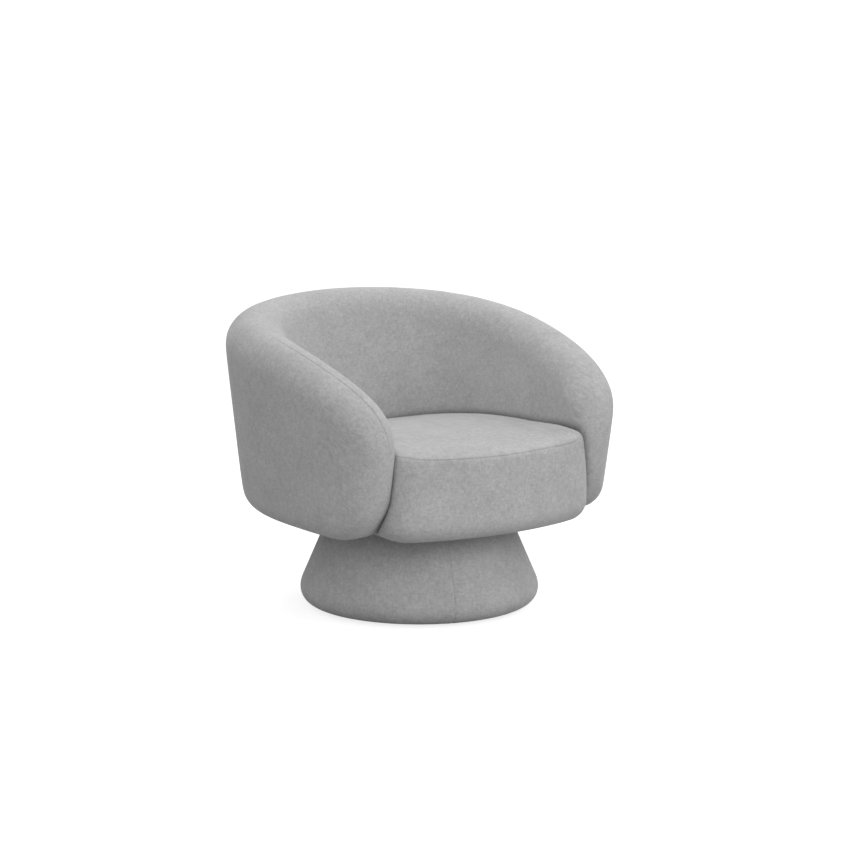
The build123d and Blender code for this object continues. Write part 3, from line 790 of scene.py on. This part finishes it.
# %% Seat padding
seat_square = 8 * millimetre
seat_smoothing = 5
seat_low, seat_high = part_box("seat_cover")
seat_bow_radius = 0.639
seat_crown_radius = 1.8
seat_crown_forward = 0.110
seat_half_width = 0.273
seat_front = 0.362
seat_corner_radius = 0.073
seat_edge_depth = 0.030
left_droop = 9 * millimetre
right_droop = 20 * millimetre
droop_start, droop_full = 0.10, 0.25
right_droop_front, right_droop_back = -0.32, -0.23
far_away = 1.0
side_lean = math.tan(math.radians(3))
seat_swelling = 3 * millimetre
seat_side_swelling = 2.5 * millimetre

seat_cushion = foam_skin("seat_foam", ["seat_cover"], "seat_cushion")
even_mesh(seat_cushion, seat_square, seat_smoothing)


def seat_depths(points):
    """How far below the crown, and how far inside the band, each point lies."""
    x, y, z = points.T
    lean = (z - board_low.z) * side_lean
    run = y + seat_crown_forward
    below = seat_high.z - seat_crown_radius + np.sqrt(seat_crown_radius ** 2 - run ** 2) - z
    front = seat_bow_radius - lean - np.hypot(x, y - seat_bow_radius + seat_front)
    side = seat_half_width - lean - np.abs(x)
    corner = seat_corner_radius - np.hypot(seat_corner_radius - front, seat_corner_radius - side)
    rounded = (front < seat_corner_radius) & (side < seat_corner_radius)
    return below, np.where(rounded, corner, np.minimum(front, side))


def seat_edge_distance(points):
    """How far each point is from the line of the seam, which drops towards both front corners."""
    below, inside = seat_depths(points)
    x, y, _ = points.T
    right = smooth_step(-x, droop_start, droop_full) * smooth_step(y, right_droop_front, right_droop_back)
    droop = left_droop * smooth_step(x, droop_start, droop_full) + right_droop * right
    away = np.abs(below - inside - droop) / math.sqrt(2)
    return np.where(below > seat_edge_depth, far_away, away)


facing_up = np.clip(normals(seat_cushion)[:, 2], 0, 1)
swell(seat_cushion, seat_side_swelling + (seat_swelling - seat_side_swelling) * facing_up)
tuck_under(seat_cushion)

# %% [markdown]
# The cushion gives way to the leaning back: beside the wall it is pushed in by as much as the padding
# stands out there. Its top rolls down towards the wall and tucks under it in a narrow crease, which stays
# dark. Its sides stand a little higher beside the arms, and the corner on the chair's left is the fuller
# one.

# %% Seat against the back
give_reach = 0.085
roll_reach = 0.045
roll_depth = 5 * millimetre
crease_reach = 0.020
crease_depth = 14 * millimetre
crease_front, crease_back = -0.22, -0.12
side_lift = 10.5 * millimetre
side_sink = 2.5 * millimetre
side_start, side_full = 0.14, 0.24
lift_front, lift_back = -0.24, -0.10
corner_back, corner_front = 0.20, 0.30
corner_swelling = 5 * millimetre
corner_drop = 0.55
drop_back, drop_front = 0.25, 0.32

seat_points = places(seat_cushion)
wall_distance = distances(inner_cover, seat_points)
give = leaning(seat_points) * np.clip(1 - wall_distance / give_reach, 0, 1) ** 2
from_axis = np.maximum(np.hypot(seat_points[:, 0], seat_points[:, 1]), seat_square)
seat_points[:, :2] -= seat_points[:, :2] / from_axis[:, None] * give[:, None]
beside_arm = smooth_step(np.abs(seat_points[:, 0]), side_start, side_full)
in_front = 1 - smooth_step(seat_points[:, 1], lift_front, lift_back)
front_corner = beside_arm * smooth_step(-seat_points[:, 1], corner_back, corner_front)
on_left = seat_points[:, 0] > 0
middle = np.sin(math.pi * np.clip((seat_points[:, 2] - seat_low.z) / (seat_high.z - seat_low.z), 0, 1))
seat_points += normals(seat_cushion) * (corner_swelling * front_corner * middle * on_left)[:, None]
drop = np.where(on_left, corner_drop, 1) * smooth_step(-seat_points[:, 1], drop_back, drop_front)
rise = beside_arm * (side_lift * in_front - side_sink) * (1 - drop)
roll = np.clip(1 - wall_distance / roll_reach, 0, 1) ** 2
roll *= smooth_step(seat_points[:, 1], lean_arm, lean_back)
crease = np.clip(1 - wall_distance / crease_reach, 0, 1) ** 2
crease *= smooth_step(seat_points[:, 1], crease_front, crease_back)
rise -= roll_depth * roll + crease_depth * crease
seat_points[:, 2] += rise * smooth_step(seat_points[:, 2], lean_foot, lean_seat)
move_to(seat_cushion, seat_points)
subdivide(seat_cushion)

# %% [markdown]
# The seat's seam fades where it turns round the front corners. The threads run from side to side, and from
# the top they go on down the front, so the weave is measured inwards on the top and downwards on the band.

# %% Seat seam
left_fade_start, left_fade_end, left_fade = 0.195, 0.235, 0.85
right_fade_start, right_fade_end, right_fade = 0.235, 0.26, 0.5


def seat_tightness(points):
    left = 1 - left_fade * smooth_step(points[:, 0], left_fade_start, left_fade_end)
    return left - right_fade * smooth_step(-points[:, 0], right_fade_start, right_fade_end)


sew(seat_cushion, seat_edge_distance, lambda points: points[:, 0] + points[:, 1], seat_tightness)
seat_points = places(seat_cushion)
seat_up = seat_points[:, 2] - seat_depths(seat_points)[1]
seat_threads = np.stack([seat_points[:, 0], seat_up, np.zeros(len(seat_points))], 1)
write_points(seat_cushion, "threads", "FLOAT_VECTOR", seat_threads)
finish_piece(seat_cushion, "tub", "cover_fabric", felt, "seat_foam", "seat_cover")

# %% [markdown]
# Where the back meets the seat, shade is painted into the cloth, so that the crease looks darker than light
# alone would make it. Each point of the wall stores how close it is to the cushion, and the cloth is painted
# darker there. The fronts of the arms get no painted shade.

# %% Painted shade in the crease above the seat
shade_reach = 11 * millimetre
shade_limit = 3 * shade_reach
shade_seen = 0.1
shade_front, shade_back = -0.32, -0.26

cushion_surface = BVHTree.FromObject(seat_cushion, bpy.context.evaluated_depsgraph_get())
wall_points = places(tub_wall)
crease_shade_amount = np.zeros(len(wall_points))
for number in np.flatnonzero(wall_points[:, 2] < seat_high.z + shade_limit):
    away = cushion_surface.find_nearest(Vector(wall_points[number]), shade_limit)[3]
    if away is not None:
        crease_shade_amount[number] = math.exp(-((away / shade_reach) ** 2))
crease_shade_amount *= smooth_step(wall_points[:, 1], shade_front, shade_back)
# The wall stores this as painted shade in the crease, which the felt darkens by.
write_points(tub_wall, "crease", "FLOAT", crease_shade_amount)
print("the crease darkens", int((crease_shade_amount > shade_seen).sum()), "points of the wall")

# %% [markdown]
# ## Pedestal sleeve
#
# The pedestal is a plywood cone under a thin layer of foam, with a cloth sleeve pulled tight over it and
# turned in at both ends. A cone with its two rims bevelled has exactly this form, and an inset at each end
# leaves the turned-in hems. Cloth this tight doesn't swell, so it isn't simulated.

# %% Sleeve
sleeve_low, sleeve_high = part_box("pedestal_cover")
sleeve_foot_radius = 0.296
sleeve_top_radius = 0.209
sleeve_edge_radius, sleeve_edge_segments = 0.044, 14
sleeve_rim_radius, sleeve_rim_segments = 0.006, 5
sleeve_sides = 180
sleeve_hem = 0.062
sleeve_turn_in = 0.050
same_height = 0.01 * millimetre
near_axis = 0.01

bpy.ops.object.select_all(action="DESELECT")
sleeve_height = sleeve_high.z - sleeve_low.z
sleeve_slope = math.atan((sleeve_foot_radius - sleeve_top_radius) / sleeve_height)
bpy.ops.mesh.primitive_cone_add(
    vertices=sleeve_sides,
    radius1=sleeve_foot_radius,
    radius2=sleeve_top_radius,
    depth=sleeve_height,
    location=(0, 0, (sleeve_low.z + sleeve_high.z) / 2),
)
sleeve = bpy.context.object
sleeve.name = "pedestal_sleeve"
bpy.ops.object.transform_apply(location=True, rotation=True, scale=True)


def bevel_rim(piece, height, radius, corner, segments):
    """Rounds the rim at a height; corner is the angle between the faces that meet there."""
    pick(piece)
    bpy.ops.object.mode_set(mode="EDIT")
    bpy.ops.mesh.select_mode(type="EDGE")
    bpy.ops.mesh.select_all(action="DESELECT")
    bpy.ops.object.mode_set(mode="OBJECT")
    points = places(piece)
    for edge in piece.data.edges:
        edge.select = all(abs(points[end][2] - height) < same_height for end in edge.vertices)
    bpy.ops.object.mode_set(mode="EDIT")
    offset = radius / math.tan(corner / 2)
    bpy.ops.mesh.bevel(offset=offset, offset_type="OFFSET", segments=segments, profile=0.5)
    bpy.ops.object.mode_set(mode="OBJECT")


bevel_rim(sleeve, sleeve_low.z, sleeve_edge_radius, math.pi / 2 - sleeve_slope, sleeve_edge_segments)
bevel_rim(sleeve, sleeve_high.z, sleeve_rim_radius, math.pi / 2 + sleeve_slope, sleeve_rim_segments)
for end_height, hem in ((sleeve_low.z, sleeve_hem), (sleeve_high.z, sleeve_turn_in)):
    middles = face_middles(sleeve)
    at_end = np.abs(middles[:, 2] - end_height) < same_height
    select_faces(sleeve, at_end & (np.hypot(middles[:, 0], middles[:, 1]) < near_axis))
    bpy.ops.mesh.inset(thickness=hem, depth=0)
    bpy.ops.mesh.delete(type="FACE")
    bpy.ops.object.mode_set(mode="OBJECT")
select_faces(sleeve, np.ones(len(sleeve.data.polygons)))
bpy.ops.mesh.subdivide(number_cuts=1, smoothness=0)
bpy.ops.object.mode_set(mode="OBJECT")
print("sleeve has", len(sleeve.data.polygons), "faces")

# %% [markdown]
# Two upright seams, opposite each other, join the halves of the sleeve, and one shows in the photograph.
# The threads run round the sleeve and up it. Under the foot they are measured inwards, so that the weave
# isn't drawn out there. Solidify then gives the cloth its thickness.

# %% Sleeve seam
sleeve_cloth = 2 * millimetre
sleeve_seam_azimuth = math.radians(-16.6)
sleeve_tightness = 0.6
sleeve_fold_radius = 0.25
seam_direction = direction(sleeve_seam_azimuth, 0)


def sleeve_seam_distance(points):
    return np.abs(points[:, 0] * seam_direction.y - points[:, 1] * seam_direction.x)


sew(sleeve, sleeve_seam_distance, lambda points: points[:, 2], lambda points: sleeve_tightness)
sleeve_points = places(sleeve)
to_seam = sleeve_points[:, 0] * seam_direction.x + sleeve_points[:, 1] * seam_direction.y
beside_seam = sleeve_points[:, 0] * seam_direction.y - sleeve_points[:, 1] * seam_direction.x
sleeve_middle = (sleeve_low.z + sleeve_high.z) / 2
fold_radius = np.minimum(np.hypot(beside_seam, to_seam), sleeve_fold_radius)
fold = np.where(sleeve_points[:, 2] < sleeve_middle, fold_radius - sleeve_fold_radius, 0)
sleeve_round = np.arctan2(beside_seam, to_seam) * sleeve_top_radius
sleeve_threads = np.stack([sleeve_round, sleeve_points[:, 2] + fold, np.zeros(len(sleeve_points))], 1)
write_points(sleeve, "threads", "FLOAT_VECTOR", sleeve_threads)
pick(sleeve)
wall_of_cloth = sleeve.modifiers.new("cloth", "SOLIDIFY")
wall_of_cloth.thickness = sleeve_cloth
wall_of_cloth.offset = -1
bpy.ops.object.modifier_apply(modifier=wall_of_cloth.name)
finish_piece(sleeve, "pedestal", "cover_fabric", felt, "pedestal_cover", "pedestal_foam")

# %% [markdown]
# ## Frame and fittings
#
# Under the cloth is a frame of birch plywood and beech rails on a ball-bearing swivel plate. Little of it
# shows, but the underside does, and so does every piece of an opened chair. Two groups hold what the
# finishes share. Long grain is noise drawn out along the fibres, with short dark pores. Speckle is the fine
# unevenness that plating, rolling or a mould leaves.

# %% Grain and speckle
band_stretch, pore_stretch, broad_stretch = (1, 1, 1), (6, 6, 6), (35, 35, 35)
band_tone, pore_tone = 1.3, 0.5
broad_tone, fine_tone = 0.8, 0.7

grain, grain_in, grain_out = new_group("long_grain", ["Place", "Stretch"], ["Tone", "Height"])
drawn_out = add_node(grain, "ShaderNodeVectorMath", operation="MULTIPLY")
link(grain, grain_in.outputs["Place"], drawn_out.inputs[0])
link(grain, grain_in.outputs["Stretch"], drawn_out.inputs[1])
bands = stretched_noise(grain, drawn_out.outputs[0], band_stretch, detail=4)
pores = stretched_noise(grain, drawn_out.outputs[0], pore_stretch, detail=2)
link(grain, weighted_sum(grain, [(bands, band_tone), (pores, pore_tone)]), grain_out.inputs["Tone"])
link(grain, pores, grain_out.inputs["Height"])

speckle, speckle_in, speckle_out = new_group("speckle", ["Place", "Stretch"], ["Tone", "Height"])
broad = stretched_noise(speckle, speckle_in.outputs["Place"], broad_stretch, detail=3)
fine = stretched_noise(speckle, speckle_in.outputs["Place"], speckle_in.outputs["Stretch"], detail=2)
link(speckle, weighted_sum(speckle, [(broad, broad_tone), (fine, fine_tone)]), speckle_out.inputs["Tone"])
link(speckle, fine, speckle_out.inputs["Height"])
print("node groups:", sorted(group.name for group in bpy.data.node_groups))

# %% [markdown]
# The boards are birch plywood, whose upright edges show the glue lines between the layers. The bent panels
# and the posts have their grain upright. The rails are beech, which is redder, with the grain along each
# rail. All are one group with another direction and colours, because wood differs in just these.

# %% Wood
ply_pitch = 3 * millimetre
ply_shade = 0.25
finish_bump = 0.4
birch_dark, birch_light = (0.50, 0.36, 0.21), (0.80, 0.65, 0.45)
beech_dark, beech_light = (0.42, 0.25, 0.14), (0.70, 0.48, 0.30)


def finish_from(group, name, stretch, dark, light, rough, smooth_spot, depth):
    """A material whose colour, gloss and bump all come from one group."""
    made, tree, shader = new_material(name)
    used = use_group(tree, group)
    link(tree, object_place(tree), used.inputs["Place"])
    used.inputs["Stretch"].default_value = stretch
    link(tree, colour_between(tree, used.outputs["Tone"], dark, light), shader.inputs["Base Color"])
    link(tree, value_between(tree, used.outputs["Tone"], rough, smooth_spot), shader.inputs["Roughness"])
    bump(tree, shader, used.outputs["Height"], finish_bump, depth)
    return made, tree, shader


def show_plies(tree, shader):
    """Adds the glue lines that a board's upright edges show."""
    facing = add_node(tree, "ShaderNodeSeparateXYZ")
    link(tree, add_node(tree, "ShaderNodeNewGeometry").outputs["Normal"], facing.inputs[0])
    edge = maths(tree, "LESS_THAN", maths(tree, "ABSOLUTE", facing.outputs["Z"], 0.0), upright)
    line = maths(tree, "GREATER_THAN", wave(tree, object_place(tree), 2, ply_pitch), 0.0)
    glued = maths(tree, "MULTIPLY", edge, line)
    plain = shader.inputs["Base Color"].links[0].from_socket
    link(tree, darkened(tree, plain, glued, ply_shade), shader.inputs["Base Color"])


wood_gloss = (0.62, 0.48, 0.15 * millimetre)
board_grain, upright_grain = (3, 60, 60), (60, 60, 3)
cross_grain, side_grain = (4, 55, 55), (55, 4, 55)
boards, boards_tree, boards_shader = finish_from(
    grain, "birch_plywood_boards", board_grain, birch_dark, birch_light, *wood_gloss
)
show_plies(boards_tree, boards_shader)
uprights = finish_from(grain, "bent_birch_plywood", upright_grain, birch_dark, birch_light, *wood_gloss)[0]
cross_rails = finish_from(grain, "beech_cross_rails", cross_grain, beech_dark, beech_light, *wood_gloss)[0]
side_rails = finish_from(grain, "beech_side_rails", side_grain, beech_dark, beech_light, *wood_gloss)[0]
print("woods:", [wood.name for wood in (boards, uprights, cross_rails, side_rails)])

# %% [markdown]
# Plates, springs, bolts and nuts are zinc-plated steel, bluish and unevenly glossy. The bearing balls are
# polished, and their cage and the glides are black plastic from a mould. The dust cloth is thin black
# cambric, for which the cover's weave serves again, in black.

# %% Metal, plastic and dust cloth
zinc_dark, zinc_light = (0.50, 0.52, 0.55), (0.72, 0.73, 0.74)
ball_dark, ball_light = (0.66, 0.66, 0.67), (0.78, 0.78, 0.79)
moulded_dark, moulded_light = (0.012, 0.012, 0.013), (0.035, 0.035, 0.036)
cambric_dark, cambric_light = (0.008, 0.008, 0.009), (0.055, 0.055, 0.057)

zinc_grain, ball_grain, moulded_grain = (900, 900, 900), (700, 700, 700), (1300, 1300, 1300)
zinc_gloss = (0.46, 0.26, 0.05 * millimetre)
ball_gloss = (0.16, 0.07, 0.01 * millimetre)
moulded_gloss = (0.58, 0.42, 0.08 * millimetre)
cambric_depth = 0.3 * millimetre

zinc, _, zinc_shader = finish_from(
    speckle, "zinc_plated_steel", zinc_grain, zinc_dark, zinc_light, *zinc_gloss
)
ball_steel, _, ball_shader = finish_from(
    speckle, "polished_ball_steel", ball_grain, ball_dark, ball_light, *ball_gloss
)
for shader in (zinc_shader, ball_shader):
    set_inputs(shader, Metallic=1.0)
moulded = finish_from(
    speckle, "black_moulded_plastic", moulded_grain, moulded_dark, moulded_light, *moulded_gloss
)[0]

cambric, cambric_tree, cambric_shader = new_material("black_dust_cloth")
cambric_weave = use_group(cambric_tree, weave)
cambric_place = object_place(cambric_tree)
link(cambric_tree, cambric_place, cambric_weave.inputs["Threads"])
link(cambric_tree, cambric_place, cambric_weave.inputs["Place"])
cambric_shade = colour_between(cambric_tree, cambric_weave.outputs["Tone"], cambric_dark, cambric_light)
link(cambric_tree, cambric_shade, cambric_shader.inputs["Base Color"])
bump(cambric_tree, cambric_shader, cambric_weave.outputs["Height"], felt_bump, cambric_depth)
set_inputs(cambric_shader, Roughness=0.9, Specular_IOR_Level=0.2)
print("fittings:", [fitting.name for fitting in (zinc, ball_steel, moulded, cambric)])

# %% [markdown]
# The record gives each construction piece a material slot, and each slot has one finish. Bent or upright
# boards and the side rails are picked by name, because their grain runs another way. Foam and covers get
# the cloth too, although the padded pieces stand in for them.

# %% Finish each frame piece
upright_nodes = {
    "pedestal_ribs",
    "pedestal_skin",
    "wall_posts",
    "rim_rail",
    "wall_inner_panel",
    "wall_outer_panel",
}
slot_finishes = {
    "cover_fabric": felt,
    "foam": felt,
    "cambric": cambric,
    "plywood": boards,
    "hardwood": cross_rails,
    "zinc_steel": zinc,
    "polished_steel": ball_steel,
    "black_plastic": moulded,
}
for part in frame["record"]["subparts"]:
    name = part["node"]
    finish = slot_finishes[part["material_slot"]]
    if name in upright_nodes:
        finish = uprights
    if name == "side_rails":
        finish = side_rails
    nodes[name].data.materials.clear()
    nodes[name].data.materials.append(finish)
print("finished", len(nodes), "frame pieces with", len(bpy.data.materials), "materials")
